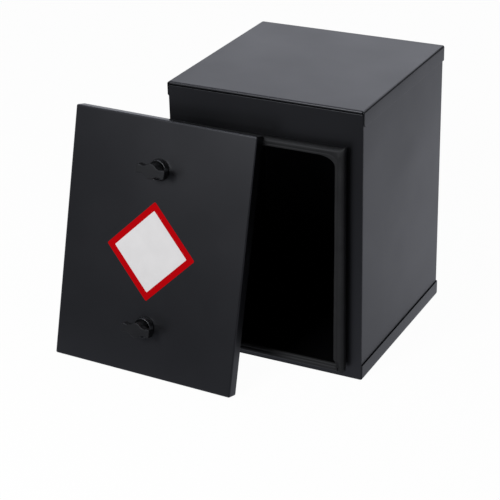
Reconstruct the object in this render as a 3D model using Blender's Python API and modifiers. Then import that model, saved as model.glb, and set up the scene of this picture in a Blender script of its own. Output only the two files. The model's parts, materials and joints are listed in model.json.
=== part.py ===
"""Gas cylinder cabinet: a sheet steel locker for one gas cylinder, its lift-off door leaning on the opening.

Metres, +Z up. The origin is the centre of the cabinet's underside, +X is to the right seen from the front,
and the front faces -Y. Flat pieces of the front, the door and the latches are drawn in the plane of an empty
whose local Z points out of that surface, local X to the right and local Y up.
"""

import math

import bmesh
import bpy
from mathutils import Matrix, Vector

# Cabinet
CABINET_WIDTH = 0.300
CABINET_DEPTH = 0.300
CABINET_HEIGHT = 0.410
SHEET = 0.0015
FLANGE_HEIGHT = 0.023
COVER_CHAMFER = 0.0038
TRAY_CHAMFER = 0.0010
COVER_FOLD_RADIUS = 0.0032
TRAY_FOLD_RADIUS = 0.0036
WRAP_FOLD_RADIUS = 0.0024
HEM_RADIUS = 0.0024
HEM_LEAF = 0.0060
JOINT_GAP = 0.0003
MERGE_DISTANCE = 0.00001
OVERRUN = 0.010

# Collar round the opening
COLLAR_SIDE_MARGIN = 0.028
COLLAR_TOP_MARGIN = 0.056
COLLAR_BOTTOM = 0.017
COLLAR_PROJECTION = 0.015
COLLAR_CORNER_RADIUS = 0.003
COLLAR_RETURN = 0.012

# Push-on seal: a channel on the collar's edge with a bulb on its inner side
SEAL_LEG = 0.002
SEAL_WEB = 0.0017
SEAL_GRIP = 0.009
SEAL_NOSE_RADIUS = 0.0018
SEAL_BULB_RADIUS = 0.0033
SEAL_BULB_BORE = 0.0017
SEAL_REACH = 0.0098
SEAL_INNER_CORNER_RADIUS = 0.018
SEAL_BUTT_GAP = 0.0010
SEAL_EASE = 0.00002

# Drop vent in a rear corner of the base
VENT_HOLE_RADIUS = 0.019
VENT_SIDE_INSET = 0.075
VENT_REAR_INSET = 0.075
GRILLE_RADIUS = 0.030
GRILLE_SHEET = 0.0012
GRILLE_HOLE_RADIUS = 0.0024
GRILLE_PITCH = 0.0068
GRILLE_RINGS = 2
RIVET_COUNT = 4
RIVET_CIRCLE_RADIUS = 0.0245
RIVET_SHANK_RADIUS = 0.0016
RIVET_HEAD_RADIUS = 0.0034
RIVET_HEAD_HEIGHT = 0.0012

# Hose grommet in the back
GROMMET_SIDE_INSET = 0.065
GROMMET_TOP_INSET = 0.065
GROMMET_BORE_RADIUS = 0.0060
GROMMET_HOLE_RADIUS = 0.0100
GROMMET_LIP_RADIUS = 0.0135
GROMMET_OUTER_LIP = 0.0014
GROMMET_INNER_LIP = 0.0030
GROMMET_ROUNDING = 0.0007

# Door pan, whose edges lie outside the collar
DOOR_SIDE_OVERLAP = 0.026
DOOR_END_OVERLAP = 0.0175
DOOR_DEPTH = 0.018
DOOR_SHEET = 0.0012
DOOR_EDGE_RADIUS = 0.0025
DOOR_YAW = math.radians(-2.08)
DOOR_MIDDLE_OUT = 0.0224
DOOR_FOOT_OUT = 0.0967
DOOR_CLOSING_GAP = 0.0005

# Latches
LATCH_INSET = 0.071
UPPER_KNOB_TILT = math.radians(-5.0)
LOWER_KNOB_TILT = math.radians(-2.0)
BEZEL_RADIUS = 0.0160
BEZEL_HEIGHT = 0.0030
BEZEL_EDGE = 0.0012
BARREL_RADIUS = 0.0106
BARREL_REACH = 0.0105
COLLAR_RING_RADIUS = 0.0116
COLLAR_RING_HEIGHT = 0.0026
SPINDLE_RADIUS = 0.0050
RUNNING_GAP = 0.0003
GASKET_RADIUS = 0.0150
GASKET_SHEET = 0.0010
NUT_ACROSS_FLATS = 0.0270
NUT_HEIGHT = 0.0050
KNOB_HUB_RADIUS = 0.0110
KNOB_FRONT = 0.0262
KNOB_WING_DEPTH = 0.0125
KNOB_SPAN = 0.0465
KNOB_TIP_HALF = 0.0067
KNOB_WAIST_HALF = 0.0052
KNOB_WAIST_REACH = 0.0135
KNOB_TIP_RADIUS = 0.0026
KNOB_EDGE = 0.0009
KNOB_HUB_SETBACK = 0.0004
WING_ROOT_ANGLE = math.radians(12)
CAM_SHEET = 0.0025
CAM_WIDTH = 0.0180
CAM_CATCH = 0.0075
CAM_CLEARANCE = 0.0006
SCREW_RADIUS = 0.0025
SCREW_DEPTH = 0.0100
SCREW_HEAD_ACROSS_FLATS = 0.0090
SCREW_HEAD_HEIGHT = 0.0038
WASHER_RADIUS = 0.0075
WASHER_SHEET = 0.0012

# Facets of full rounds, quarter rounds and folds, and the angles above which an edge stays sharp
ROUND_STEPS = 32
FINE_STEPS = 16
SMALL_STEPS = 8
CORNER_STEPS = 6
TIP_STEPS = 4
FOLD_STEPS = 3
SHARP_ANGLE = math.radians(35)
LOFT_SHARP_ANGLE = math.radians(40)

# Places that follow from the sizes above
COLLAR_WIDTH = CABINET_WIDTH - 2 * COLLAR_SIDE_MARGIN
COLLAR_TOP = CABINET_HEIGHT - COLLAR_TOP_MARGIN
DOOR_WIDTH = COLLAR_WIDTH + 2 * DOOR_SIDE_OVERLAP
DOOR_HEIGHT = COLLAR_TOP - COLLAR_BOTTOM + 2 * DOOR_END_OVERLAP
CAM_REACH = LATCH_INSET - DOOR_END_OVERLAP + CAM_CATCH
VENT_PLACE = (CABINET_WIDTH / 2 - VENT_SIDE_INSET, CABINET_DEPTH / 2 - VENT_REAR_INSET)
GROMMET_X = GROMMET_SIDE_INSET - CABINET_WIDTH / 2
GROMMET_HEIGHT = CABINET_HEIGHT - GROMMET_TOP_INSET
WALL_INSET = SHEET + JOINT_GAP
INNER_HALF_WIDTH = CABINET_WIDTH / 2 - WALL_INSET
PANEL_TOP = CABINET_HEIGHT - 2 * HEM_RADIUS - JOINT_GAP
COLLAR_BACK = -(2 * SHEET + JOINT_GAP)
SEAL_FRONT = COLLAR_PROJECTION + JOINT_GAP + SEAL_WEB
SEAL_INNER_LEG = SHEET + JOINT_GAP + SEAL_LEG
KNOB_BASE = (
    GASKET_SHEET + 2 * JOINT_GAP + BEZEL_HEIGHT + COLLAR_RING_HEIGHT + RUNNING_GAP
)
CAM_FRONT = -(DOOR_CLOSING_GAP + DOOR_DEPTH - COLLAR_BACK + CAM_CLEARANCE)
CAM_BACK = CAM_FRONT - CAM_SHEET


def make_collections():
    """Clears the scene and returns the collection of the parts and that of the cutters."""
    for old in list(bpy.data.objects):
        bpy.data.objects.remove(old, do_unlink=True)
    made = []
    for name in ("gas_cylinder_cabinet", "cutters"):
        collection = bpy.data.collections.new(name)
        bpy.context.scene.collection.children.link(collection)
        made.append(collection)
    return made


PARTS, CUTTERS = make_collections()


def principled(name, colour, roughness, metallic):
    material = bpy.data.materials.new(name)
    material.use_nodes = True
    shader = material.node_tree.nodes["Principled BSDF"]
    shader.inputs["Base Color"].default_value = (*colour, 1.0)
    shader.inputs["Roughness"].default_value = roughness
    shader.inputs["Metallic"].default_value = metallic
    material.diffuse_color = (*colour, 1.0)
    return material


FINISHES = {
    "powder_coat": ((0.021, 0.021, 0.024), 0.42, 0.0),
    "seal_rubber": ((0.014, 0.014, 0.015), 0.55, 0.0),
    "latch_plastic": ((0.018, 0.018, 0.020), 0.38, 0.0),
    "zinc_steel": ((0.56, 0.56, 0.54), 0.35, 1.0),
}


def finish(piece, slot):
    """Gives a piece its own material in one of the finishes, and keeps its flats flat in the shading."""
    weighted = piece.modifiers.new("flats", "WEIGHTED_NORMAL")
    weighted.keep_sharp = True
    piece.data.materials.clear()
    piece.data.materials.append(principled(piece.name + "_" + slot, *FINISHES[slot]))
    return piece


def place(name, data, parent=None, collection=PARTS):
    piece = bpy.data.objects.new(name, data)
    collection.objects.link(piece)
    piece.parent = parent
    return piece


def mesh_of(bm, name):
    mesh = bpy.data.meshes.new(name)
    bm.to_mesh(mesh)
    bm.free()
    return mesh


def closed_mesh_of(bm, name):
    bmesh.ops.recalc_face_normals(bm, faces=bm.faces)
    return mesh_of(bm, name)


def empty(name, location, rotation=(0, 0, 0), parent=None):
    axis = bpy.data.objects.new(name, None)
    PARTS.objects.link(axis)
    axis.empty_display_size = SHEET
    axis.parent = parent
    axis.location = location
    axis.rotation_euler = rotation
    return axis


def smooth(piece, angle=SHARP_ANGLE):
    piece.data.shade_smooth()
    piece.data.set_sharp_from_angle(angle=angle)
    return piece


def as_cutter(piece):
    for owner in list(piece.users_collection):
        owner.objects.unlink(piece)
    CUTTERS.objects.link(piece)
    piece.hide_render = True
    piece.display_type = "WIRE"
    return piece


def boolean(piece, other, operation="DIFFERENCE"):
    as_cutter(other)
    cut = piece.modifiers.new(operation.lower(), "BOOLEAN")
    cut.operation = operation
    cut.solver = "EXACT"
    cut.object = other
    return piece


def open_box(low, high, open_sides):
    """A box between two corners as a bmesh, without the sides whose outward directions are given."""
    low, high = Vector(low), Vector(high)
    bm = bmesh.new()
    stretch = Matrix.Diagonal((*(high - low), 1.0))
    bmesh.ops.create_cube(
        bm, size=1.0, matrix=Matrix.Translation((low + high) / 2) @ stretch
    )
    bm.normal_update()
    limit = math.cos(SHARP_ANGLE)
    gone = [f for f in bm.faces if any(f.normal.dot(Vector(s)) > limit for s in open_sides)]
    bmesh.ops.delete(bm, geom=gone, context="FACES")
    return bm


def fold(bm, radius, segments=FOLD_STEPS):
    """Rounds the folds of an open surface."""
    folds = [edge for edge in bm.edges if len(edge.link_faces) == 2]
    bmesh.ops.bevel(
        bm, geom=folds, offset=radius, segments=segments, profile=0.5, affect="EDGES"
    )


def thickened(name, bm, sheet):
    """A sheet metal piece from its outer surface, thickened inwards."""
    bm.normal_update()
    largest = max(bm.faces, key=lambda face: face.calc_area())
    outward = largest.normal.copy()
    bmesh.ops.recalc_face_normals(bm, faces=bm.faces)
    if largest.normal.dot(outward) < 0:
        bmesh.ops.reverse_faces(bm, faces=bm.faces)
    piece = place(name, mesh_of(bm, name))
    thick = piece.modifiers.new("sheet", "SOLIDIFY")
    thick.thickness = sheet
    thick.offset = -1.0
    thick.use_even_offset = True
    return smooth(piece)


def arc(centre, radius, start, end, steps):
    """Points on an arc, from one angle to another in radians."""
    angles = [start + (end - start) * k / steps for k in range(steps + 1)]
    return [
        (centre[0] + radius * math.cos(a), centre[1] + radius * math.sin(a))
        for a in angles
    ]


def circle(radius, steps=ROUND_STEPS, centre=(0, 0)):
    return arc(centre, radius, 0, math.tau * (steps - 1) / steps, steps - 1)


def hexagon(across_flats):
    return circle(across_flats / math.sqrt(3), 6)


def rounded_rectangle(left, right, bottom, top, radius, steps=CORNER_STEPS):
    """Anticlockwise from the lower right corner."""
    corners = (
        ((right - radius, bottom + radius), -math.pi / 2),
        ((right - radius, top - radius), 0),
        ((left + radius, top - radius), math.pi / 2),
        ((left + radius, bottom + radius), math.pi),
    )
    points = []
    for centre, start in corners:
        points += arc(centre, radius, start, start + math.pi / 2, steps)
    return points


def outline_piece(name, outlines, low, high, parent=None, edge=0):
    """A flat piece cut to outlines, the first outside and the rest holes, between two local heights."""
    curve = bpy.data.curves.new(name, "CURVE")
    curve.dimensions = "2D"
    curve.fill_mode = "BOTH"
    curve.extrude = (high - low) / 2 - edge
    curve.bevel_depth = edge
    curve.bevel_resolution = 1
    curve.offset = -edge
    for points in outlines:
        spline = curve.splines.new("POLY")
        spline.points.add(len(points) - 1)
        for point, (x, y) in zip(spline.points, points):
            point.co = (x, y, 0, 1)
        spline.use_cyclic_u = True
    drawn = place(name + "_outline", curve)
    bpy.context.view_layer.update()
    graph = bpy.context.evaluated_depsgraph_get()
    mesh = bpy.data.meshes.new_from_object(drawn.evaluated_get(graph))
    bpy.data.objects.remove(drawn, do_unlink=True)
    bm = bmesh.new()
    bm.from_mesh(mesh)
    bpy.data.meshes.remove(mesh)
    bmesh.ops.remove_doubles(bm, verts=bm.verts, dist=MERGE_DISTANCE)
    bmesh.ops.translate(bm, verts=bm.verts, vec=(0, 0, (low + high) / 2))
    return smooth(place(name, closed_mesh_of(bm, name), parent))


def turned(name, profile, parent=None, steps=ROUND_STEPS, closed=True):
    """A turned piece: the profile is radius and height pairs that run down its outer side."""
    bm = bmesh.new()
    corners = [bm.verts.new((r, 0, z)) for r, z in profile]
    pairs = list(zip(corners, corners[1:]))
    if closed:
        pairs.append((corners[-1], corners[0]))
    for pair in pairs:
        bm.edges.new(pair)
    piece = place(name, mesh_of(bm, name), parent)
    screw = piece.modifiers.new("turn", "SCREW")
    screw.angle = math.tau
    screw.steps = screw.render_steps = steps
    screw.use_merge_vertices = True
    screw.merge_threshold = MERGE_DISTANCE
    screw.use_smooth_shade = True
    return piece


def loft(name, rings, parent=None, closed=True):
    """Skins equal rings: ring k is the path of the section's corner k. An open loft gets end caps."""
    bm = bmesh.new()
    grid = [[bm.verts.new(point) for point in ring] for ring in rings]
    count = len(grid[0])
    for k, ring in enumerate(grid):
        beside = grid[(k + 1) % len(grid)]
        for i in range(count if closed else count - 1):
            j = (i + 1) % count
            bm.faces.new((ring[i], ring[j], beside[j], beside[i]))
    if not closed:
        bm.faces.new([ring[0] for ring in grid])
        bm.faces.new([ring[-1] for ring in reversed(grid)])
    bmesh.ops.triangulate(bm, faces=[f for f in bm.faces if len(f.verts) > 4])
    return smooth(place(name, closed_mesh_of(bm, name), parent), LOFT_SHARP_ANGLE)


def collar_ring(inset, radius, height):
    """A closed ring round the opening, set in from the collar's outer face."""
    half = COLLAR_WIDTH / 2 - inset
    points = rounded_rectangle(
        -half, half, COLLAR_BOTTOM + inset, COLLAR_TOP - inset, radius
    )
    return [(x, y, height) for x, y in points]


def seal_path(inset, radius, height, overrun=0):
    """The open path of one line of the seal, leftwards round the opening from the joint at its lower right.

    The bulb is mitred there, and the channel of the bottom run ends square against the right run.
    """
    half = COLLAR_WIDTH / 2 - inset
    ring = rounded_rectangle(
        -half, half, COLLAR_BOTTOM + inset, COLLAR_TOP - inset, radius
    )
    corner = CORNER_STEPS + 1
    mitre = max(inset, SEAL_INNER_LEG)
    start = COLLAR_WIDTH / 2 - mitre - SEAL_BUTT_GAP + overrun
    end = COLLAR_BOTTOM + mitre - overrun
    way = [(start, COLLAR_BOTTOM + inset)] + ring[corner:][::-1] + [(half, end)]
    return [(x, y, height) for x, y in way]


def tray_surface(face_z, edge_z, chamfer, radius):
    """A sheet flanged on its sides and rear and open to the front, with chamfered front corners."""
    half, deep = CABINET_WIDTH / 2, CABINET_DEPTH / 2
    bm = open_box(
        (-half, -deep, min(face_z, edge_z)),
        (half, deep, max(face_z, edge_z)),
        ((0, -1, 0), (0, 0, math.copysign(1, edge_z - face_z))),
    )
    chamfered = [
        v
        for v in bm.verts
        if v.co.y < 0 and abs(v.co.z - edge_z) < abs(v.co.z - face_z)
    ]
    bmesh.ops.bevel(bm, geom=chamfered, offset=chamfer, segments=1, affect="VERTICES")
    fold(bm, radius)
    return bm


def front_edge(bm):
    """The straight front edge of the top sheet."""
    edges = [
        e
        for e in bm.edges
        if all(
            v.co.y < JOINT_GAP - CABINET_DEPTH / 2 and v.co.z > CABINET_HEIGHT - JOINT_GAP
            for v in e.verts
        )
    ]
    return max(edges, key=lambda e: e.calc_length())


def hem_front(bm):
    """Turns the front edge of the top sheet round and back under itself, clear of the side walls."""
    reach = CABINET_WIDTH / 2 - max(COVER_FOLD_RADIUS, WALL_INSET + SHEET) - JOINT_GAP
    ends = []
    for side in (-reach, reach):
        edge = front_edge(bm)
        ends.append(bmesh.utils.edge_split(edge, edge.verts[0], 0.5)[1])
        ends[-1].co.x = side
    centre = (HEM_RADIUS - CABINET_DEPTH / 2, CABINET_HEIGHT - HEM_RADIUS)
    for vert in ends:
        vert.co.y = centre[0]
    way = arc(centre, HEM_RADIUS, math.pi / 2, math.pi * 3 / 2, SMALL_STEPS)[1:]
    way.append((way[-1][0] + HEM_LEAF, way[-1][1]))
    for y, z in way:
        fresh = [bm.verts.new((vert.co.x, y, z)) for vert in ends]
        bm.faces.new((ends[0], ends[1], fresh[1], fresh[0]))
        ends = fresh


def front_plane():
    return empty("front_plane", (0, -CABINET_DEPTH / 2, 0), (math.pi / 2, 0, 0))


def make_top_cover():
    edge = CABINET_HEIGHT - FLANGE_HEIGHT
    bm = tray_surface(CABINET_HEIGHT, edge, COVER_CHAMFER, COVER_FOLD_RADIUS)
    hem_front(bm)
    finish(thickened("top_cover", bm, SHEET), "powder_coat")


def make_base_tray():
    bm = tray_surface(0, FLANGE_HEIGHT, TRAY_CHAMFER, TRAY_FOLD_RADIUS)
    base = thickened("base_tray", bm, SHEET)
    outlines = [circle(VENT_HOLE_RADIUS)] + rivet_holes()
    holes = outline_piece("vent_holes_cutter", outlines, -OVERRUN, OVERRUN)
    holes.location = (*VENT_PLACE, 0)
    finish(boolean(base, holes), "powder_coat")


def rivet_place(k):
    turn = math.tau * (k + 0.5) / RIVET_COUNT
    return RIVET_CIRCLE_RADIUS * math.cos(turn), RIVET_CIRCLE_RADIUS * math.sin(turn)


def rivet_holes():
    radius = RIVET_SHANK_RADIUS + JOINT_GAP
    return [circle(radius, FINE_STEPS, rivet_place(k)) for k in range(RIVET_COUNT)]


def grille_places():
    """Hole centres on a triangular grid inside the vent hole."""
    places = []
    for row in range(-GRILLE_RINGS, GRILLE_RINGS + 1):
        for column in range(-GRILLE_RINGS, GRILLE_RINGS + 1):
            if abs(row + column) <= GRILLE_RINGS:
                x = GRILLE_PITCH * (column + row / 2)
                places.append((x, GRILLE_PITCH * row * math.sqrt(3) / 2))
    return places


def make_vent():
    vent = empty("vent_axis", (*VENT_PLACE, 0))
    floor = SHEET + JOINT_GAP
    outlines = [circle(GRILLE_RADIUS)]
    outlines += [circle(GRILLE_HOLE_RADIUS, SMALL_STEPS, at) for at in grille_places()]
    outlines += rivet_holes()
    grille = outline_piece("vent_grille", outlines, floor, floor + GRILLE_SHEET, vent)
    finish(grille, "zinc_steel")
    head = floor + GRILLE_SHEET + JOINT_GAP
    profile = [(0, head + RIVET_HEAD_HEIGHT)]
    profile += [
        (RIVET_HEAD_RADIUS * math.sin(a), head + RIVET_HEAD_HEIGHT * math.cos(a))
        for a in (math.pi / 6, math.pi / 3, math.pi / 2)
    ]
    profile += [(RIVET_SHANK_RADIUS, head), (RIVET_SHANK_RADIUS, JOINT_GAP)]
    profile += [(0, JOINT_GAP)]
    for k in range(RIVET_COUNT):
        rivet = turned(
            f"vent_rivet_{k + 1}", profile, vent, FINE_STEPS, closed=False
        )
        rivet.location = (*rivet_place(k), 0)
        finish(rivet, "zinc_steel")


def make_body_wrap():
    """The left side, back and right side, folded from one sheet, between the folds of cover and tray."""
    bm = open_box(
        (-INNER_HALF_WIDTH, -CABINET_DEPTH / 2 + WALL_INSET, TRAY_FOLD_RADIUS),
        (INNER_HALF_WIDTH, CABINET_DEPTH / 2 - WALL_INSET, CABINET_HEIGHT - COVER_FOLD_RADIUS),
        ((0, -1, 0), (0, 0, 1), (0, 0, -1)),
    )
    fold(bm, WRAP_FOLD_RADIUS)
    wrap = thickened("body_wrap", bm, SHEET)
    hole = outline_piece(
        "hose_hole_cutter", [circle(GROMMET_HOLE_RADIUS)], -OVERRUN, OVERRUN
    )
    hole.location = (GROMMET_X, CABINET_DEPTH / 2 - WALL_INSET, GROMMET_HEIGHT)
    hole.rotation_euler = (math.pi / 2, 0, 0)
    finish(boolean(wrap, hole), "powder_coat")


def make_grommet():
    """A turned rubber grommet whose groove holds the edge of the hole in the back."""
    out = CABINET_DEPTH / 2 - WALL_INSET
    axis = empty("grommet_axis", (GROMMET_X, out, GROMMET_HEIGHT), (-math.pi / 2, 0, 0))
    outer = JOINT_GAP + GROMMET_OUTER_LIP
    groove = -(SHEET + JOINT_GAP)
    inner = groove - GROMMET_INNER_LIP
    soft = GROMMET_ROUNDING
    profile = [
        (GROMMET_BORE_RADIUS, outer - soft),
        (GROMMET_BORE_RADIUS + soft, outer),
        (GROMMET_LIP_RADIUS - soft, outer),
        (GROMMET_LIP_RADIUS, outer - soft),
        (GROMMET_LIP_RADIUS, JOINT_GAP),
        (GROMMET_HOLE_RADIUS - JOINT_GAP, JOINT_GAP),
        (GROMMET_HOLE_RADIUS - JOINT_GAP, groove),
        (GROMMET_LIP_RADIUS, groove),
        (GROMMET_LIP_RADIUS, inner + soft),
        (GROMMET_LIP_RADIUS - soft, inner),
        (GROMMET_BORE_RADIUS + soft, inner),
        (GROMMET_BORE_RADIUS, inner + soft),
    ]
    finish(turned("hose_grommet", profile, axis), "seal_rubber")


def make_front_panel(plane):
    half = COLLAR_WIDTH / 2 + JOINT_GAP
    corner = TRAY_FOLD_RADIUS - WALL_INSET
    outlines = [
        rounded_rectangle(
            -INNER_HALF_WIDTH, INNER_HALF_WIDTH, WALL_INSET, PANEL_TOP, corner, FOLD_STEPS
        ),
        rounded_rectangle(
            -half,
            half,
            COLLAR_BOTTOM - JOINT_GAP,
            COLLAR_TOP + JOINT_GAP,
            COLLAR_CORNER_RADIUS + JOINT_GAP,
        ),
    ]
    panel = outline_piece("front_panel", outlines, -SHEET, 0, plane)
    finish(panel, "powder_coat")


def make_collar(plane):
    """An angle section frame through the opening, its return behind the front panel."""
    section = (
        (0, COLLAR_PROJECTION),
        (SHEET, COLLAR_PROJECTION),
        (SHEET, COLLAR_BACK),
        (-COLLAR_RETURN, COLLAR_BACK),
        (-COLLAR_RETURN, COLLAR_BACK + SHEET),
        (0, COLLAR_BACK + SHEET),
    )
    rings = [
        collar_ring(inset, COLLAR_CORNER_RADIUS - inset, height)
        for inset, height in section
    ]
    finish(loft("opening_collar", rings, plane), "powder_coat")


def seal_front(ease=0):
    """(inset, height) corners of the outer leg and the nose, drawn smaller all round by the ease."""
    outside = -JOINT_GAP - SEAL_LEG
    foot = SEAL_FRONT - SEAL_WEB - SEAL_GRIP + ease
    radius = SEAL_NOSE_RADIUS - ease
    nose = SEAL_FRONT - SEAL_NOSE_RADIUS
    front = [(outside + ease, foot)]
    front += arc((outside + SEAL_NOSE_RADIUS, nose), radius, math.pi, math.pi / 2, FOLD_STEPS)
    front += arc(
        (SEAL_INNER_LEG - SEAL_NOSE_RADIUS, nose), radius, math.pi / 2, 0, FOLD_STEPS
    )[:-1]
    return front


def seal_tail_section():
    """The part of the section in front of the collar's edge and outside it."""
    front = seal_front(SEAL_EASE)
    inside = -JOINT_GAP - SEAL_EASE
    slot_end = COLLAR_PROJECTION + JOINT_GAP + SEAL_EASE
    return front + [
        (front[-1][0], slot_end),
        (inside, slot_end),
        (inside, front[0][1]),
    ]


def seal_section():
    """(inset, height) corners of the section: outer leg, nose, bulb, inner leg, then inside the slot."""
    foot = SEAL_FRONT - SEAL_WEB - SEAL_GRIP
    slot_end = COLLAR_PROJECTION + JOINT_GAP
    bulb = (SEAL_REACH - SEAL_BULB_RADIUS, SEAL_FRONT - SEAL_BULB_RADIUS)
    meet = math.acos((SEAL_INNER_LEG - bulb[0]) / SEAL_BULB_RADIUS)
    section = seal_front() + arc(bulb, SEAL_BULB_RADIUS, meet, -meet, SMALL_STEPS)
    section += [
        (SEAL_INNER_LEG, foot),
        (SHEET + JOINT_GAP, foot),
        (SHEET + JOINT_GAP, slot_end),
        (-JOINT_GAP, slot_end),
        (-JOINT_GAP, foot),
    ]
    return section, bulb


def seal_corner_radius(inset):
    """Tight on the collar's own corner, and growing to the large radius of the bulb's inner line."""
    if inset <= SHEET + JOINT_GAP:
        return COLLAR_CORNER_RADIUS - inset
    share = (inset - SHEET - JOINT_GAP) / (SEAL_REACH - SHEET - JOINT_GAP)
    tight = COLLAR_CORNER_RADIUS - SHEET - JOINT_GAP
    return tight + share * (SEAL_INNER_CORNER_RADIUS - tight)


def make_seal_tail(plane):
    """The front and outer leg of the right run, which go on down past the end of the bottom run."""
    low = COLLAR_BOTTOM - JOINT_GAP - SEAL_LEG
    high = COLLAR_BOTTOM + 2 * SEAL_INNER_LEG
    lines = [
        [(COLLAR_WIDTH / 2 - inset, z, height) for z in (high, low)]
        for inset, height in seal_tail_section()
    ]
    return loft("seal_tail", lines, plane, closed=False)


def make_seal(plane):
    section, bulb = seal_section()
    paths = [
        seal_path(inset, seal_corner_radius(inset), height) for inset, height in section
    ]
    seal = loft("collar_seal", paths, plane, closed=False)
    boolean(seal, make_seal_tail(plane), "UNION")
    bore = [
        seal_path(inset, seal_corner_radius(inset), height, SEAL_BUTT_GAP / 2)
        for inset, height in circle(SEAL_BULB_BORE, SMALL_STEPS, bulb)
    ]
    cutter = loft("seal_bore_cutter", bore, plane, closed=False)
    finish(boolean(seal, cutter), "seal_rubber")


def door_lean():
    """The lean at which the right flange's rear edge lies just off the seal's rounded upper front edge."""
    crest_out = -SEAL_NOSE_RADIUS
    crest_up = COLLAR_TOP + JOINT_GAP + SEAL_LEG - SEAL_NOSE_RADIUS
    away = SEAL_NOSE_RADIUS + JOINT_GAP
    foot = DOOR_FOOT_OUT - crest_out
    lean = math.acos(away / math.hypot(foot, crest_up)) - math.atan2(crest_up, foot)
    return math.atan(math.tan(lean) / math.cos(DOOR_YAW))


def make_door_plane():
    """The plane of the door's outer face, its origin in the middle of the lower edge."""
    lean = door_lean()
    plane = empty("door_plane", (0, 0, 0), (math.pi / 2 - lean, 0, DOOR_YAW), None)
    turn = plane.rotation_euler.to_matrix()
    seal_y = -CABINET_DEPTH / 2 - SEAL_FRONT
    rear_right = turn @ Vector((DOOR_WIDTH / 2, 0, -DOOR_DEPTH))
    plane.location = (
        -COLLAR_WIDTH / 2 - DOOR_MIDDLE_OUT,
        seal_y - DOOR_FOOT_OUT - rear_right.y,
        -rear_right.z,
    )
    return plane


def make_door_pan(plane):
    bm = open_box(
        (-DOOR_WIDTH / 2, 0, -DOOR_DEPTH),
        (DOOR_WIDTH / 2, DOOR_HEIGHT, 0),
        ((0, 0, -1),),
    )
    fold(bm, DOOR_EDGE_RADIUS)
    pan = thickened("door_pan", bm, DOOR_SHEET)
    pan.parent = plane
    for name, height in latch_heights():
        hole = outline_piece(
            name + "_hole_cutter",
            [circle(BARREL_RADIUS + JOINT_GAP)],
            -OVERRUN,
            OVERRUN,
            plane,
        )
        hole.location = (0, height, 0)
        boolean(pan, hole)
    finish(pan, "powder_coat")


def latch_heights():
    return (("upper", DOOR_HEIGHT - LATCH_INSET), ("lower", LATCH_INSET))


def make_latch_fixed(name, axis):
    """The housing through the door, the gasket under its bezel and the lock nut behind the door."""
    gasket = outline_piece(
        name + "_latch_gasket",
        [circle(GASKET_RADIUS), circle(BARREL_RADIUS + JOINT_GAP)],
        JOINT_GAP,
        JOINT_GAP + GASKET_SHEET,
        axis,
    )
    finish(gasket, "seal_rubber")
    seat = GASKET_SHEET + 2 * JOINT_GAP
    shoulder = seat + BEZEL_HEIGHT
    crown = shoulder + COLLAR_RING_HEIGHT
    bore = SPINDLE_RADIUS + RUNNING_GAP
    soft = BEZEL_EDGE / 2
    profile = [(bore, crown), (COLLAR_RING_RADIUS - soft, crown)]
    profile += [(COLLAR_RING_RADIUS, crown - soft), (COLLAR_RING_RADIUS + soft, shoulder)]
    profile += arc(
        (BEZEL_RADIUS - BEZEL_EDGE, shoulder - BEZEL_EDGE),
        BEZEL_EDGE,
        math.pi / 2,
        0,
        FOLD_STEPS,
    )
    profile += [
        (BEZEL_RADIUS, seat),
        (BARREL_RADIUS, seat),
        (BARREL_RADIUS, -BARREL_REACH),
        (bore, -BARREL_REACH),
    ]
    finish(turned(name + "_latch_housing", profile, axis), "latch_plastic")
    nut_front = -(DOOR_SHEET + JOINT_GAP)
    nut = outline_piece(
        name + "_latch_nut",
        [hexagon(NUT_ACROSS_FLATS), circle(BARREL_RADIUS + JOINT_GAP)],
        nut_front - NUT_HEIGHT,
        nut_front,
        axis,
        BEZEL_EDGE / 2,
    )
    finish(nut, "latch_plastic")


def knob_outline():
    """The knob seen from the front: a round hub and two wings that flare to round-cornered tips."""
    tip = KNOB_SPAN / 2
    corner = KNOB_TIP_RADIUS
    leave = math.asin(KNOB_WAIST_HALF / KNOB_HUB_RADIUS) + WING_ROOT_ANGLE
    half = [(KNOB_WAIST_REACH, -KNOB_WAIST_HALF)]
    half += arc((tip - corner, corner - KNOB_TIP_HALF), corner, -math.pi / 2, 0, TIP_STEPS)
    half += arc((tip - corner, KNOB_TIP_HALF - corner), corner, 0, math.pi / 2, TIP_STEPS)
    half += [(KNOB_WAIST_REACH, KNOB_WAIST_HALF)]
    half += arc((0, 0), KNOB_HUB_RADIUS, leave, math.pi - leave, 2 * CORNER_STEPS)
    return half + [(-x, -y) for x, y in half]


def make_knob(name, axis):
    """A moulded wing knob with its hub and spindle, and a blind hole for the cam's screw."""
    spindle_end = CAM_FRONT + JOINT_GAP
    buried = KNOB_FRONT - KNOB_WING_DEPTH / 2
    hub = KNOB_HUB_RADIUS - KNOB_HUB_SETBACK
    profile = [
        (0, buried),
        (hub, buried),
        (hub, KNOB_BASE),
        (SPINDLE_RADIUS, KNOB_BASE),
        (SPINDLE_RADIUS, spindle_end),
        (SCREW_RADIUS + JOINT_GAP, spindle_end),
        (SCREW_RADIUS + JOINT_GAP, spindle_end + SCREW_DEPTH + JOINT_GAP),
        (0, spindle_end + SCREW_DEPTH + JOINT_GAP),
    ]
    knob = turned(name + "_wing_knob", profile, axis, closed=False)
    wings = outline_piece(
        name + "_wing_blank",
        [knob_outline()],
        KNOB_FRONT - KNOB_WING_DEPTH,
        KNOB_FRONT,
        axis,
        KNOB_EDGE,
    )
    finish(boolean(knob, wings, "UNION"), "latch_plastic")


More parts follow.
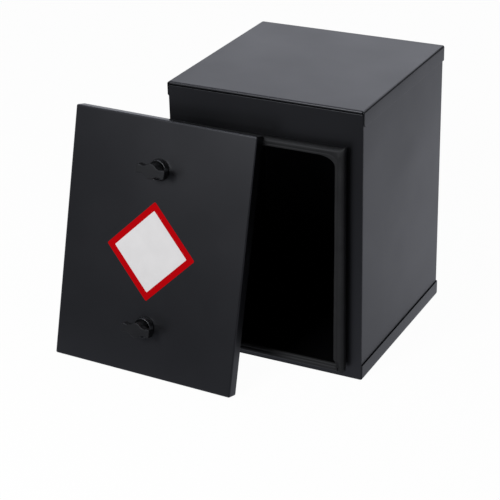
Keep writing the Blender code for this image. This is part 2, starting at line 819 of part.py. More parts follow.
def make_cam(name, axis):
    """The cam, its washer and its screw, which turn with the knob."""
    half = CAM_WIDTH / 2
    hole = SCREW_RADIUS + JOINT_GAP
    outline = arc((0, 0), half, -math.pi / 2, math.pi / 2, SMALL_STEPS)
    outline += arc((half - CAM_REACH, 0), half, math.pi / 2, math.pi * 3 / 2, SMALL_STEPS)
    cam = outline_piece(
        name + "_cam", [outline, circle(hole, FINE_STEPS)], CAM_BACK, CAM_FRONT, axis
    )
    finish(cam, "zinc_steel")
    washer_back = CAM_BACK - JOINT_GAP - WASHER_SHEET
    washer = outline_piece(
        name + "_cam_washer",
        [circle(WASHER_RADIUS, FINE_STEPS), circle(hole, FINE_STEPS)],
        washer_back,
        CAM_BACK - JOINT_GAP,
        axis,
    )
    finish(washer, "zinc_steel")
    head_front = washer_back - JOINT_GAP
    head = outline_piece(
        name + "_cam_screw",
        [hexagon(SCREW_HEAD_ACROSS_FLATS)],
        head_front - SCREW_HEAD_HEIGHT,
        head_front,
        axis,
    )
    shank = outline_piece(
        name + "_screw_shank",
        [circle(SCREW_RADIUS, FINE_STEPS)],
        head_front - SCREW_HEAD_HEIGHT / 2,
        CAM_FRONT + JOINT_GAP + SCREW_DEPTH,
        axis,
    )
    finish(boolean(head, shank, "UNION"), "zinc_steel")


def make_latches(plane):
    tilts = {"upper": UPPER_KNOB_TILT, "lower": LOWER_KNOB_TILT}
    for name, height in latch_heights():
        fixed = empty(name + "_latch_place", (0, height, 0), parent=plane)
        make_latch_fixed(name, fixed)
        turning = empty(
            name + "_latch_axis", (0, height, 0), (0, 0, tilts[name]), plane
        )
        make_knob(name, turning)
        make_cam(name, turning)


def main():
    make_top_cover()
    make_base_tray()
    make_vent()
    make_body_wrap()
    make_grommet()
    front = front_plane()
    make_front_panel(front)
    make_collar(front)
    make_seal(front)
    door = make_door_plane()
    make_door_pan(door)
    make_latches(door)


main()
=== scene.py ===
"""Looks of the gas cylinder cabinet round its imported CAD: finishes, seal, sign and studio."""

import json
import math

import bmesh
import bpy
from mathutils import Matrix, Vector, noise as shape_noise


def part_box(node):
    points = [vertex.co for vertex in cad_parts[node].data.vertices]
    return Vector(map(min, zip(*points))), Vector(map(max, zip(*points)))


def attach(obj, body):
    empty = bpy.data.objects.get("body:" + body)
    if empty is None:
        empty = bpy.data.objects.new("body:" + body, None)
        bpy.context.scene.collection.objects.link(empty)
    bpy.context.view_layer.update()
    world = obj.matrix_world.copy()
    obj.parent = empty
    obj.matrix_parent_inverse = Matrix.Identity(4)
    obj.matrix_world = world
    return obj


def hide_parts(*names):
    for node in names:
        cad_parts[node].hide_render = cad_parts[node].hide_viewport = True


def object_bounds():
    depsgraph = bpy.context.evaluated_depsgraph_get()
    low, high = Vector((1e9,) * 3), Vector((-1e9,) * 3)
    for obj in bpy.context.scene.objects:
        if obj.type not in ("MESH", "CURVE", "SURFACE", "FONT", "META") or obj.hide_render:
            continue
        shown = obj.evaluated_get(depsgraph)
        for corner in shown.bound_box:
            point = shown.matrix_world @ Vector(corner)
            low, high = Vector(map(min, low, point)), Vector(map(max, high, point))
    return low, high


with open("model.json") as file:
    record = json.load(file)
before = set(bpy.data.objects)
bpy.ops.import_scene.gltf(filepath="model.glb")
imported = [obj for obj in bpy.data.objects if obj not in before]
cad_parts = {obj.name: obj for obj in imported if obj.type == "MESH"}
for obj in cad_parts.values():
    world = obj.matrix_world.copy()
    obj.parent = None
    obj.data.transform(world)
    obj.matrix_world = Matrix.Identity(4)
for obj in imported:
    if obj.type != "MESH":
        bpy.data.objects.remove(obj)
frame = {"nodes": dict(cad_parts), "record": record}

CAD_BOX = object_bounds()

QUARTER_TURN = math.pi / 2
WHITE = (1.0, 1.0, 1.0, 1.0)

# Camera at the photograph's angle, in degrees, millimetres and metres
CAMERA_AZIMUTH = 27.388
CAMERA_ELEVATION = 25.647
CAMERA_ROLL = -1.395
CAMERA_LENS = 117.97
CAMERA_SENSOR = 36.0
CAMERA_PLACE = (0.9460, -2.0257, 1.1868)

# Door plane as the CAD places it: lean and yaw in degrees, and the middle of its outer face's foot
DOOR_LEAN = 15.2108
DOOR_YAW = -2.08
DOOR_ORIGIN = (-0.1444, -0.275686, 0.004723)
DOOR_WIDTH = 0.296

# Sign: two nested diamonds of film, each by its reach from the centre to a corner
SIGN_FROM_LEFT = 0.146
SIGN_FROM_FOOT = 0.182
SIGN_REACH = 0.0727
SIGN_FIELD_REACH = 0.0596
SIGN_CORNER = 0.0022
SIGN_FIELD_CORNER = 0.0012
SIGN_CORNER_STEPS = 6
SIGN_LIFT = 0.00004
SIGN_FILM = 0.00018
SIGN_FIELD_FILM = 0.00006

# Collar that the seal grips, on the front panel
FRONT_PLACE = (0.0, -0.150, 0.0)
COLLAR_HALF = 0.122
COLLAR_FOOT = 0.017
COLLAR_HEAD = 0.354
COLLAR_CORNER = 0.003
SHEET = 0.0015
GAP = 0.0003

# Seal section: insets run inwards from the collar's outer face, heights out from the front panel
SEAL_LEG = 0.0020
SEAL_INNER_LEG = 0.0022
SEAL_FOOT = 0.0063
SEAL_FRONT = 0.0170
SEAL_REACH = 0.0098
SLOT_END = 0.0153
HEAD_RADIUS = 0.0044
HEAD_END = math.radians(40)
BULB_RADIUS = 0.0030
BULB_CENTRE = (0.0068, 0.0130)
BULB_START = math.radians(105)
SEAL_OUTSIDE = -GAP - SEAL_LEG
SEAL_INSIDE = SHEET + GAP + SEAL_INNER_LEG
SEAL_CREST = SEAL_OUTSIDE + HEAD_RADIUS

# Seal corners: radii of its outermost, crest and innermost lines, and how much longer the bulb's
# upper right corner is along the top and down the side
OUTER_CORNER = 0.0012
CREST_CORNER = 0.011
INNER_CORNER = 0.0185
CORNER_STRETCH = (1.42, 0.78)

# Right side of the seal: a head thicker outwards, and how far its bulb wanders at top and foot
HEAD_EXTRA = 0.0027
BULB_SHIFTS = (0.0008, -0.0015)

# Joint of the seal at the lower right: the head's end, and the two ends of the bulb's slanting cut
TAIL_INSET = 0.0024
TAIL_CUT = (0.0266, 0.0326)
BUTT_GAP = 0.0016

# Steps of the seal's mesh, and the slack in comparing its insets and heights
RUN_STEPS = 60
TURN_STEPS = 14
HEAD_STEPS = 16
BULB_STEPS = 20
EASE = 0.00002

# Unevenness of the rubber. The swell and the pinched tip are in the upper right corner: across and
# up, then the swell's width, length and rise, and the tip's reach and its move out and up
WAVE_SEED = 4
WAVE_SCALE = 22.0
BULB_WAVE = 0.00030
LEG_WAVE = 0.00010
SWELL = (0.1203, 0.3450, 0.0024, 0.0050, 0.0014)
PINCH = (0.1271, 0.3563, 0.0045, 0.0012, 0.0030)

# Turned pieces: sections as radius and height over the face that they sit on
LATCH_HEIGHTS = {"upper": 0.301, "lower": 0.071}
HOUSING = (
    (0.0053, 0.0040), (0.0124, 0.0040), (0.0128, 0.0042), (0.0130, 0.0047),
    (0.0131, 0.0072), (0.0132, 0.0077), (0.0134, 0.0080), (0.0137, 0.0081),
    (0.0140, 0.0080), (0.0142, 0.0077), (0.0144, 0.0072), (0.0158, 0.0024),
    (0.0160, 0.0016), (0.0106, 0.0016), (0.0106, -0.0105), (0.0053, -0.0105),
)
GASKET = (
    (0.0109, 0.0003), (0.0147, 0.0003), (0.0149, 0.0004), (0.0150, 0.0006),
    (0.0150, 0.0010), (0.0149, 0.0012), (0.0147, 0.0013), (0.0109, 0.0013),
)
GROMMET_PLACE = (-0.085, 0.1482, 0.345)
GROMMET = (
    (0.0060, 0.0008), (0.0062, 0.0013), (0.0067, 0.0016), (0.0074, 0.0017),
    (0.0122, 0.0017), (0.0129, 0.0015), (0.0134, 0.0011), (0.0135, 0.0006),
    (0.0134, 0.0003), (0.0097, 0.0003), (0.0097, -0.0018), (0.0135, -0.0018),
    (0.0133, -0.0026), (0.0127, -0.0036), (0.0116, -0.0045), (0.0104, -0.0048),
    (0.0072, -0.0048), (0.0064, -0.0045), (0.0060, -0.0038),
)
TURNED_STEPS = 72

# Welded facets and rounded cut edges of the CAD nodes
WELD_DISTANCE = 0.00001
EDGE_ROUNDING = 0.00035
EDGE_STEPS = 2
EDGE_ANGLE = math.radians(32)
FLATS_WEIGHT = 100

# Ends of the part of a noise's range that the finishes use
NOISE_LOW = 0.3
NOISE_HIGH = 0.7

# Sheen: the shader's own strength, and the faintly blue tints of powder coat and moulded pieces
PLAIN_SPECULAR = 0.5
COAT_TINT = (0.90, 0.92, 1.0, 1.0)
MOULDED_TINT = (0.90, 0.93, 1.0, 1.0)

# Finishes. Colours are linear light, and shares are the darkest and lightest that they drift to.
# Drift is the scale and detail of the noise that moves colour and roughness. Relief lists layers
# from the lowest up, each with its noise's scale and detail, its height and its strength. On the
# powder coat these are sheet that isn't quite flat, faint orange peel and fine grain.
POWDER_COAT = {
    "name": "powder_coat_black",
    "colour": (0.0020, 0.0021, 0.0025),
    "shares": (0.90, 1.12),
    "drift": (9.0, 3.0),
    "roughness": (0.34, 0.39),
    "relief": (
        (9.0, 1.0, 0.0006, 1.0),
        (420.0, 1.0, 0.00006, 0.20),
        (2600.0, 2.0, 0.00002, 0.35),
    ),
    "specular": 0.44,
    "tint": COAT_TINT,
}
SEAL_RUBBER = {
    "name": "seal_rubber_black",
    "colour": (0.0138, 0.0140, 0.0146),
    "shares": (0.85, 1.15),
    "drift": (30.0, 3.0),
    "roughness": (0.50, 0.58),
    "relief": ((1800.0, 2.0, 0.00003, 0.3),),
    "specular": 0.14,
    "tint": MOULDED_TINT,
}
LATCH_PLASTIC = {
    "name": "latch_plastic_black",
    "colour": (0.0050, 0.0051, 0.0056),
    "shares": (0.9, 1.1),
    "drift": (60.0, 2.0),
    "roughness": (0.42, 0.50),
    "relief": ((3200.0, 2.0, 0.00002, 0.3),),
    "specular": 0.26,
    "tint": MOULDED_TINT,
}
HOUSING_PLASTIC = {
    **LATCH_PLASTIC,
    "name": "housing_plastic_black",
    "roughness": (0.26, 0.32),
    "specular": 0.90,
}
ZINC_STEEL = {
    "name": "zinc_plate",
    "colour": (0.60, 0.61, 0.60),
    "shares": (0.8, 1.08),
    "drift": (240.0, 4.0),
    "roughness": (0.26, 0.44),
    "relief": ((1500.0, 3.0, 0.00002, 0.25),),
    "metal": 1.0,
}
RED_FILM = {
    "name": "sign_red_film",
    "colour": (0.364, 0.0004, 0.0022),
    "shares": (0.97, 1.02),
    "drift": (40.0, 2.0),
    "roughness": (0.38, 0.44),
    "relief": ((900.0, 2.0, 0.00001, 0.2),),
    "specular": 0.02,
}
WHITE_FILM = {
    **RED_FILM,
    "name": "sign_white_film",
    "colour": (0.588, 0.582, 0.590),
}

# Studio lamps: aim, azimuth, elevation, distance, width, height and brightness
KEY_LIGHT = ((-0.14, -0.25, 0.2), -9, 35, 1.6, 0.56, 0.60, 21.5)
NEAR_LIGHT = ((-0.19, -0.24, 0.22), -16, 18, 0.55, 0.34, 0.40, 0.20)
AMBIENT = 0.22

# What gloss sees round the object: each glow's azimuth and elevation, the angles off it where it
# ends and is full, and its brightness
ROOM_DIM = 0.04
GLOWS = (
    (-167, 23, 37, 2, 1.30),
    (-93, 66, 18, 6, 3.8),
    (62, 2, 24, 10, 1.6),
    (-44, 22, 34, 6, 0.42),
)
GLOSS_TINT = (0.95, 0.97, 1.06, 1.0)

# Floor: its own colour in the shadow, how white the camera sees it, and the ways along which its
# reflection goes from dim to bright in front and from full to dim at the side
FLOOR_REACH = 9.0
FLOOR_DROP = 0.0002
FOOTPRINT_INSET = 0.003
FLOOR_COLOUR = (0.85, 0.85, 0.85, 1.0)
FLOOR_WHITE_SHARE = 0.975
FLOOR_WAY = (-0.2, 0.98, 0.0)
FLOOR_EDGE = (-0.85, 0.65)
FLOOR_DIM = 0.2
FLOOR_BRIGHT = 1.04
FLOOR_SIDE_WAY = (1.0, 0.0, 0.0)
FLOOR_SIDE_EDGE = (0.1, 0.9)
FLOOR_SIDE_DIM = 0.42

# Sockets of a Mix node: share, low and high for numbers and for colours, and the colour output
MIX_NUMBERS = (0, 2, 3)
MIX_COLOURS = (0, 6, 7)
MIXED_COLOUR = 2


def feed(tree, source, target):
    tree.links.new(source, target)


def set_inputs(tree, sockets, values):
    """Gives sockets their values, or links them to the sockets that feed them."""
    for socket, value in zip(sockets, values):
        if isinstance(value, bpy.types.NodeSocket):
            feed(tree, value, socket)
        else:
            socket.default_value = value


def add(tree, kind, settings=(), **inputs):
    """A node with its settings, and its inputs as values or as the sockets that feed them."""
    made = tree.nodes.new(kind)
    for name, value in dict(settings).items():
        setattr(made, name, value)
    sockets = [made.inputs[name.replace("_", " ")] for name in inputs]
    set_inputs(tree, sockets, inputs.values())
    return made


def noise(tree, scale, detail):
    """Noise in the object's own space, which is the frame's."""
    place = add(tree, "ShaderNodeTexCoord").outputs["Object"]
    made = add(tree, "ShaderNodeTexNoise", Vector=place, Scale=scale, Detail=detail)
    return made.outputs["Fac"]


def spread(tree, value, low, high):
    """A noise's value moved to run from low to high."""
    ends = {"From_Min": NOISE_LOW, "From_Max": NOISE_HIGH, "To_Min": low, "To_Max": high}
    return add(tree, "ShaderNodeMapRange", Value=value, **ends).outputs["Result"]


def tinted(tree, value, colour, low, high):
    """A colour made darker and lighter by a noise's value."""
    ramp = add(tree, "ShaderNodeValToRGB", Fac=value)
    first, last = ramp.color_ramp.elements
    for end, place, share in ((first, NOISE_LOW, low), (last, NOISE_HIGH, high)):
        end.position = place
        end.color = (*(c * share for c in colour), 1.0)
    return ramp.outputs["Color"]


def make_finish(
    name, colour, shares, drift, roughness, relief, specular=PLAIN_SPECULAR, tint=WHITE, metal=0.0
):
    """A material whose colour and roughness drift together, with layers of relief on each other."""
    made = bpy.data.materials.new(name)
    made.use_nodes = True
    tree = made.node_tree
    shader = tree.nodes["Principled BSDF"].inputs
    drifting = noise(tree, *drift)
    feed(tree, tinted(tree, drifting, colour, *shares), shader["Base Color"])
    feed(tree, spread(tree, drifting, *roughness), shader["Roughness"])
    under = {}
    for scale, detail, height, strength in relief:
        rough = noise(tree, scale, detail)
        layer = add(
            tree, "ShaderNodeBump", Height=rough, Distance=height, Strength=strength, **under
        )
        under = {"Normal": layer.outputs["Normal"]}
    feed(tree, under["Normal"], shader["Normal"])
    shader["Specular IOR Level"].default_value = specular
    shader["Specular Tint"].default_value = tint
    shader["Metallic"].default_value = metal
    return made


def dress(node, made):
    """Gives a CAD node its finish, joins its facets and rounds its cut edges."""
    piece = frame["nodes"][node]
    piece.data.materials.clear()
    piece.data.materials.append(made)
    if "custom_normal" in piece.data.attributes:
        piece.data.attributes.remove(piece.data.attributes["custom_normal"])
    piece.data.shade_smooth()
    weld = piece.modifiers.new("join facets", "WELD")
    weld.merge_threshold = WELD_DISTANCE
    bevel = piece.modifiers.new("round cut edges", "BEVEL")
    bevel.width = EDGE_ROUNDING
    bevel.segments = EDGE_STEPS
    bevel.limit_method = "ANGLE"
    bevel.angle_limit = EDGE_ANGLE
    bevel.use_clamp_overlap = False
    flats = piece.modifiers.new("flats", "WEIGHTED_NORMAL")
    flats.keep_sharp = True
    flats.weight = FLATS_WEIGHT


def dress_nodes():
    """Gives every CAD node its slot's finish, and returns the finishes."""
    slots = {row["node"]: row["material_slot"] for row in frame["record"]["subparts"]}
    finishes = {
        "powder_coat": make_finish(**POWDER_COAT),
        "seal_rubber": make_finish(**SEAL_RUBBER),
        "latch_plastic": make_finish(**LATCH_PLASTIC),
        "zinc_steel": make_finish(**ZINC_STEEL),
    }
    for node in frame["nodes"]:
        dress(node, finishes[slots[node]])
    return finishes


def door_matrix():
    """From door coordinates (right, up, out of the face) to the frame."""
    turn = Matrix.Rotation(math.radians(DOOR_YAW), 4, "Z")
    turn = turn @ Matrix.Rotation(math.radians(90 - DOOR_LEAN), 4, "X")
    return Matrix.Translation(DOOR_ORIGIN) @ turn


def arc(centre, radius, start, end, steps):
    """Points of an arc, both ends included."""
    turns = [start + (end - start) * k / steps for k in range(steps + 1)]
    return [(centre[0] + radius * math.cos(t), centre[1] + radius * math.sin(t)) for t in turns]


def run(start, end):
    """Points of a straight run, both ends left out."""
    shares = [k / RUN_STEPS for k in range(1, RUN_STEPS)]
    return [tuple(a + (b - a) * share for a, b in zip(start, end)) for share in shares]


def between(value, start, end, low, high):
    """Low at the start and high at the end, in proportion, and held beyond them."""
    share = min(max((value - start) / (end - start), 0.0), 1.0)
    return low + share * (high - low)


def stand_in(name, bm, matrix, made, node, body):
    """An object from a closed mesh in its own space, which stands for a CAD node."""
    bmesh.ops.recalc_face_normals(bm, faces=bm.faces)
    mesh = bpy.data.meshes.new(name)
    bm.to_mesh(mesh)
    bm.free()
    mesh.shade_smooth()
    mesh.materials.append(made)
    piece = bpy.data.objects.new(name, mesh)
    bpy.context.scene.collection.objects.link(piece)
    piece.matrix_world = matrix
    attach(piece, body)
    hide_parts(node)


def seal_section():
    """(inset, height) corners of the section: outer leg, head, bulb, inner leg and slot."""
    head = (SEAL_CREST, SEAL_FRONT - HEAD_RADIUS)
    meet = math.acos((SEAL_INSIDE - BULB_CENTRE[0]) / BULB_RADIUS)
    section = [(SEAL_OUTSIDE, SEAL_FOOT)]
    section += arc(head, HEAD_RADIUS, math.pi, HEAD_END, HEAD_STEPS)
    section += arc(BULB_CENTRE, BULB_RADIUS, BULB_START, -meet, BULB_STEPS)
    section += [(SEAL_INSIDE, SEAL_FOOT), (SHEET + GAP, SEAL_FOOT), (SHEET + GAP, SLOT_END)]
    return section + [(-GAP, SLOT_END), (-GAP, SEAL_FOOT)]


def seal_corner(inset, gripping):
    """Radius tight on the collar's own corner, or from a sharp tip to the bulb's large one."""
    if gripping:
        return max(COLLAR_CORNER - inset, COLLAR_CORNER - SHEET - GAP)
    if inset < SEAL_CREST:
        return between(inset, SEAL_OUTSIDE, SEAL_CREST, OUTER_CORNER, CREST_CORNER)
    return between(inset, SEAL_CREST, SEAL_REACH, CREST_CORNER, INNER_CORNER)


def seal_line(inset, height):
    """A line of the seal, from the joint at the lower right leftwards round to the joint again."""
    gripping = height < SLOT_END + EASE and -GAP - EASE < inset < SEAL_INSIDE + EASE
    radius, half = seal_corner(inset, gripping), COLLAR_HALF - inset
    low, high = COLLAR_FOOT + inset, COLLAR_HEAD - inset
    right = low_right = half
    along = down = 1.0
    if not gripping:
        front = between(height, SEAL_FRONT - HEAD_RADIUS, SLOT_END, 0.0, 1.0)
        front = 1.0 if inset < 0 else front
        bulb = between(inset, SEAL_CREST, SEAL_REACH, 0.0, 1.0)
        extra = HEAD_EXTRA * front * (1.0 - bulb)
        right, low_right = (half + extra + shift * bulb for shift in BULB_SHIFTS)
        along, down = (1.0 + (stretch - 1.0) * bulb for stretch in CORNER_STRETCH)
    end = COLLAR_FOOT + SEAL_OUTSIDE
    if inset > 0 and gripping:
        end = COLLAR_FOOT + SHEET + GAP
    elif inset > TAIL_INSET:
        end = between(inset, TAIL_INSET, SEAL_REACH, *TAIL_CUT)
    points = [(COLLAR_HALF - TAIL_INSET - BUTT_GAP, low)]
    for side, level, turn in ((-half, low, 3), (-half, high, 2), (right, high, 1)):
        inward = radius if side < 0 else -radius
        upward = radius if level == low else -radius
        centre = (side + inward, level + upward)
        curve = arc(centre, radius, QUARTER_TURN * turn, QUARTER_TURN * (turn - 1), TURN_STEPS)
        if side > 0:
            curve = [(side + (x - side) * along, level + (z - level) * down) for x, z in curve]
        points += run(points[-1], curve[0]) + curve
    last = (low_right, end)
    points += run(points[-1], last) + [last]
    return [(x, z, height) for x, z in points]


def lofted(lines):
    """A closed tube whose section's corners run along the lines, with flat ends."""
    bm = bmesh.new()
    rows = [[bm.verts.new(co) for co in line] for line in lines]
    for one, other in zip(rows, rows[1:] + rows[:1]):
        for k in range(len(one) - 1):
            bm.faces.new((one[k], one[k + 1], other[k + 1], other[k]))
    bm.faces.new([row[0] for row in rows][::-1])
    bm.faces.new([row[-1] for row in rows])
    return bm


def soften(bm):
    """Adds the rubber's waves, most on the bulb, and the upper right corner's swell and tip."""
    across, up, wide, long, rise = SWELL
    tip_across, tip_up, tip_reach, out, upward = PINCH
    shape_noise.seed_set(WAVE_SEED)
    for vert in bm.verts:
        x, z, height = vert.co
        inset = min(COLLAR_HALF - abs(x), COLLAR_HEAD - z, z - COLLAR_FOOT)
        wave = BULB_WAVE if inset > SHEET + GAP + SEAL_LEG else LEG_WAVE
        move = shape_noise.noise_vector(Vector((x, z, 0)) * WAVE_SCALE) * wave
        move.z = -abs(move.z)
        proud = height > SLOT_END + EASE
        if proud:
            move.z += rise * math.exp(-(((x - across) / wide) ** 2) - ((z - up) / long) ** 2)
        if proud or inset < -GAP - EASE:
            away = (x - tip_across) ** 2 + (z - tip_up) ** 2
            share = math.exp(-away / tip_reach**2)
            move.x += out * share
            move.y += upward * share
        vert.co += move


def make_seal(rubber):
    """The push-on seal on the collar: a channel with a half-round head and a bulb inwards."""
    body = lofted([seal_line(inset, height) for inset, height in seal_section()])
    soften(body)
    place = Matrix.Translation(FRONT_PLACE) @ Matrix.Rotation(QUARTER_TURN, 4, "X")
    stand_in("seal_push_on", body, place, rubber, "collar_seal", "cabinet")


def turned(section):
    """A closed ring: a section of radius and height, turned round the upright axis."""
    bm = bmesh.new()
    turns = [math.tau * k / TURNED_STEPS for k in range(TURNED_STEPS)]
    rows = [
        [bm.verts.new((radius * math.cos(turn), radius * math.sin(turn), height)) for turn in turns]
        for radius, height in section
    ]
    for one, other in zip(rows, rows[1:] + rows[:1]):
        for k in range(TURNED_STEPS):
            j = (k + 1) % TURNED_STEPS
            bm.faces.new((one[k], one[j], other[j], other[k]))
    return bm


def make_housings(plastic, rubber):
    """The housings through the door, each a flange with a rim round a recess, on a seal washer."""
    for name, height in LATCH_HEIGHTS.items():
        place = door_matrix() @ Matrix.Translation((0, height, 0))
        for piece, section, made, node, slot in (
            ("_housing_cup", HOUSING, plastic, "_latch_housing", "latch_plastic"),
            ("_seal_washer", GASKET, rubber, "_latch_gasket", "seal_rubber"),
        ):
            stand_in(name + piece, turned(section), place, made, name + node, "door")


def make_grommet(rubber):
    """The moulded ring that lines the hose hole, with a thin lip outside and a round one inside."""
    place = Matrix.Translation(GROMMET_PLACE) @ Matrix.Rotation(-QUARTER_TURN, 4, "X")
    ring = turned(GROMMET)
    stand_in("grommet_ring", ring, place, rubber, "hose_grommet", "cabinet")


def diamond_outline(reach, corner):
    """Points round a diamond with rounded corners."""
    centre = reach - corner * math.sqrt(2)
    points = []
    for quarter in range(4):
        out = QUARTER_TURN * quarter
        middle = (centre * math.cos(out), centre * math.sin(out))
        start = out - QUARTER_TURN / 2
        points += arc(middle, corner, start, start + QUARTER_TURN, SIGN_CORNER_STEPS)
    return points


def diamond(name, reach, corner, low, high, made):
    """A flat diamond between two heights over the door's face."""
    curve = bpy.data.curves.new(name, "CURVE")
    curve.dimensions = "2D"
    curve.fill_mode = "BOTH"
    curve.extrude = (high - low) / 2
    spline = curve.splines.new("POLY")
    points = diamond_outline(reach, corner)
    spline.points.add(len(points) - 1)
    for point, (x, y) in zip(spline.points, points):
        point.co = (x, y, 0, 1)
    spline.use_cyclic_u = True
    drawn = bpy.data.objects.new(name + "_outline", curve)
    bpy.context.scene.collection.objects.link(drawn)
    bpy.context.view_layer.update()
    graph = bpy.context.evaluated_depsgraph_get()
    mesh = bpy.data.meshes.new_from_object(drawn.evaluated_get(graph))
    bpy.data.objects.remove(drawn)
    bm = bmesh.new()
    bm.from_mesh(mesh)
    bmesh.ops.remove_doubles(bm, verts=bm.verts, dist=WELD_DISTANCE)
    bmesh.ops.recalc_face_normals(bm, faces=bm.faces)
    bm.to_mesh(mesh)
    bm.free()
    mesh.materials.clear()
    mesh.materials.append(made)
    piece = bpy.data.objects.new(name, mesh)
    bpy.context.scene.collection.objects.link(piece)
    spot = (SIGN_FROM_LEFT - DOOR_WIDTH / 2, SIGN_FROM_FOOT, (low + high) / 2)
    piece.matrix_world = door_matrix() @ Matrix.Translation(spot)
    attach(piece, "door")


def make_sign():
    """A red diamond with a white field. The field is bare."""
    red, white = make_finish(**RED_FILM), make_finish(**WHITE_FILM)
    top = SIGN_LIFT + SIGN_FILM
    diamond("sign_border", SIGN_REACH, SIGN_CORNER, SIGN_LIFT, top, red)
    diamond("sign_field", SIGN_FIELD_REACH, SIGN_FIELD_CORNER, top, top + SIGN_FIELD_FILM, white)


def direction(azimuth, elevation):
    """From the object towards a point of the compass: azimuth 0 is the front and 90 the right."""
    a, e = math.radians(azimuth), math.radians(elevation)
    return Vector((math.sin(a) * math.cos(e), -math.cos(a) * math.cos(e), math.sin(e)))


def make_camera():
    camera = bpy.data.objects.new("camera", bpy.data.cameras.new("camera"))
    bpy.context.scene.collection.objects.link(camera)
    back = direction(CAMERA_AZIMUTH, CAMERA_ELEVATION)
    right = (-back).cross(Vector((0, 0, 1))).normalized()
    up = right.cross(-back)
    roll = math.radians(CAMERA_ROLL)
    across = math.cos(roll) * right + math.sin(roll) * up
    upward = -math.sin(roll) * right + math.cos(roll) * up
    matrix = Matrix((across, upward, back)).transposed().to_4x4()
    matrix.translation = Vector(CAMERA_PLACE)
    camera.matrix_world = matrix
    camera.data.lens = CAMERA_LENS
    camera.data.sensor_width = CAMERA_SENSOR
    bpy.context.scene.camera = camera


def make_lamp(name, aim, azimuth, elevation, distance, width, height, radiance):
    """A rectangular lamp of a given brightness, aimed at a point."""
    lamp = bpy.data.lights.new(name, "AREA")
    lamp.shape = "RECTANGLE"
    lamp.size = width
    lamp.size_y = height
    lamp.energy = math.pi * width * height * radiance
    box = bpy.data.objects.new(name, lamp)
    bpy.context.scene.collection.objects.link(box)
    out = direction(azimuth, elevation)
    box.location = Vector(aim) + out * distance
    box.rotation_mode = "QUATERNION"
    box.rotation_quaternion = out.to_track_quat("Z", "Y")
    box.visible_camera = False


def mixed(tree, share, low, high):
    """The low value at a share of 0 and the high one at 1."""
    made = add(tree, "ShaderNodeMix")
    set_inputs(tree, [made.inputs[k] for k in MIX_NUMBERS], (share, low, high))
    return made.outputs[0]


def mixed_colour(tree, share, low, high):
    made = add(tree, "ShaderNodeMix", {"data_type": "RGBA"})
    set_inputs(tree, [made.inputs[k] for k in MIX_COLOURS], (share, low, high))
    return made.outputs[MIXED_COLOUR]


def math_node(tree, operation, one, other):
    made = add(tree, "ShaderNodeMath", {"operation": operation})
    set_inputs(tree, made.inputs, (one, other))
    return made.outputs[0]


def vector_node(tree, operation, *vectors):
    made = add(tree, "ShaderNodeVectorMath", {"operation": operation})
    set_inputs(tree, made.inputs, vectors)
    return made.outputs


def graded(tree, vector, along, start, end, low, high, way="SMOOTHSTEP"):
    """From low to high as a vector's reach along a direction goes from start to end."""
    reach = vector_node(tree, "DOT_PRODUCT", vector, along)["Value"]
    ends = {"From_Min": start, "From_Max": end, "To_Min": low, "To_Max": high}
    made = add(tree, "ShaderNodeMapRange", {"interpolation_type": way}, Value=reach, **ends)
    return made.outputs["Result"]


def ray_kinds(tree):
    """Whether a ray is the camera's, and whether it is a reflection or passes through."""
    path = add(tree, "ShaderNodeLightPath").outputs
    shown = math_node(tree, "MAXIMUM", path["Is Glossy Ray"], path["Is Transmission Ray"])
    return path["Is Camera Ray"], shown


def make_world():
    """White for the camera. Gloss shows a bright backdrop behind and a dimmer room in front."""
    world = bpy.data.worlds.new("studio")
    bpy.context.scene.world = world
    world.use_nodes = True
    world.cycles.sampling_method = "NONE"
    tree = world.node_tree
    seen, shown = ray_kinds(tree)
    way = add(tree, "ShaderNodeTexCoord").outputs["Generated"]
    room = ROOM_DIM
    for azimuth, elevation, end, full, radiance in GLOWS:
        edges = (math.cos(math.radians(end)), math.cos(math.radians(full)))
        glow = graded(tree, way, direction(azimuth, elevation), *edges, 0.0, radiance)
        room = math_node(tree, "ADD", glow, room)
    strength = mixed(tree, seen, mixed(tree, shown, AMBIENT, room), 1.0)
    background = tree.nodes["Background"].inputs
    feed(tree, strength, background["Strength"])
    feed(tree, mixed_colour(tree, shown, WHITE, GLOSS_TINT), background["Color"])


def outside_footprint(tree, place):
    """0 on the floor under the cabinet and 1 round it."""
    low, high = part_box("base_tray")
    middle, half = (low + high) / 2, (high - low) / 2
    away = vector_node(tree, "SUBTRACT", place, middle)[0]
    away = vector_node(tree, "ABSOLUTE", away)[0]
    sides = add(tree, "ShaderNodeSeparateXYZ", Vector=away).outputs
    beyond = [
        math_node(tree, "GREATER_THAN", sides[axis], half[axis] - FOOTPRINT_INSET)
        for axis in (0, 1)
    ]
    return math_node(tree, "MAXIMUM", *beyond)


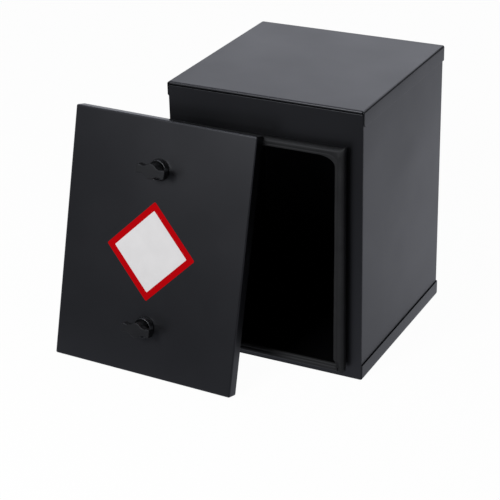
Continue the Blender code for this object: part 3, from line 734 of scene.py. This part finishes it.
def floor_material():
    """White to the camera but for the shadow, dark under the cabinet, and graded in reflections."""
    made = bpy.data.materials.new("studio_floor")
    made.use_nodes = True
    made.cycles.emission_sampling = "NONE"
    tree = made.node_tree
    tree.nodes.clear()
    seen, shown = ray_kinds(tree)
    place = add(tree, "ShaderNodeTexCoord").outputs["Object"]
    ahead = graded(tree, place, FLOOR_WAY, *FLOOR_EDGE, FLOOR_DIM, FLOOR_BRIGHT, "LINEAR")
    aside = graded(tree, place, FLOOR_SIDE_WAY, *FLOOR_SIDE_EDGE, 1.0, FLOOR_SIDE_DIM)
    strength = mixed(tree, seen, math_node(tree, "MULTIPLY", ahead, aside), 1.0)
    colour = mixed_colour(tree, seen, GLOSS_TINT, WHITE)
    glow = add(tree, "ShaderNodeEmission", Color=colour, Strength=strength)
    plain = add(tree, "ShaderNodeBsdfDiffuse", Color=FLOOR_COLOUR)
    share = mixed(tree, seen, shown, FLOOR_WHITE_SHARE)
    share = math_node(tree, "MULTIPLY", share, outside_footprint(tree, place))
    both = add(tree, "ShaderNodeMixShader")
    set_inputs(tree, both.inputs, (share, plain.outputs[0], glow.outputs[0]))
    add(tree, "ShaderNodeOutputMaterial", Surface=both.outputs[0])
    return made


def make_floor():
    bm = bmesh.new()
    bmesh.ops.create_grid(bm, x_segments=1, y_segments=1, size=FLOOR_REACH)
    mesh = bpy.data.meshes.new("studio_floor")
    bm.to_mesh(mesh)
    bm.free()
    floor = bpy.data.objects.new("studio_floor", mesh)
    floor.location.z = CAD_BOX[0].z - FLOOR_DROP
    bpy.context.scene.collection.objects.link(floor)
    mesh.materials.append(floor_material())


def main():
    bpy.context.scene.view_settings.view_transform = "Standard"
    finishes = dress_nodes()
    rubber = finishes["seal_rubber"]
    make_seal(rubber)
    make_housings(make_finish(**HOUSING_PLASTIC), rubber)
    make_grommet(rubber)
    make_sign()
    make_camera()
    make_world()
    make_floor()
    make_lamp("key_light", *KEY_LIGHT)
    make_lamp("near_light", *NEAR_LIGHT)


main()
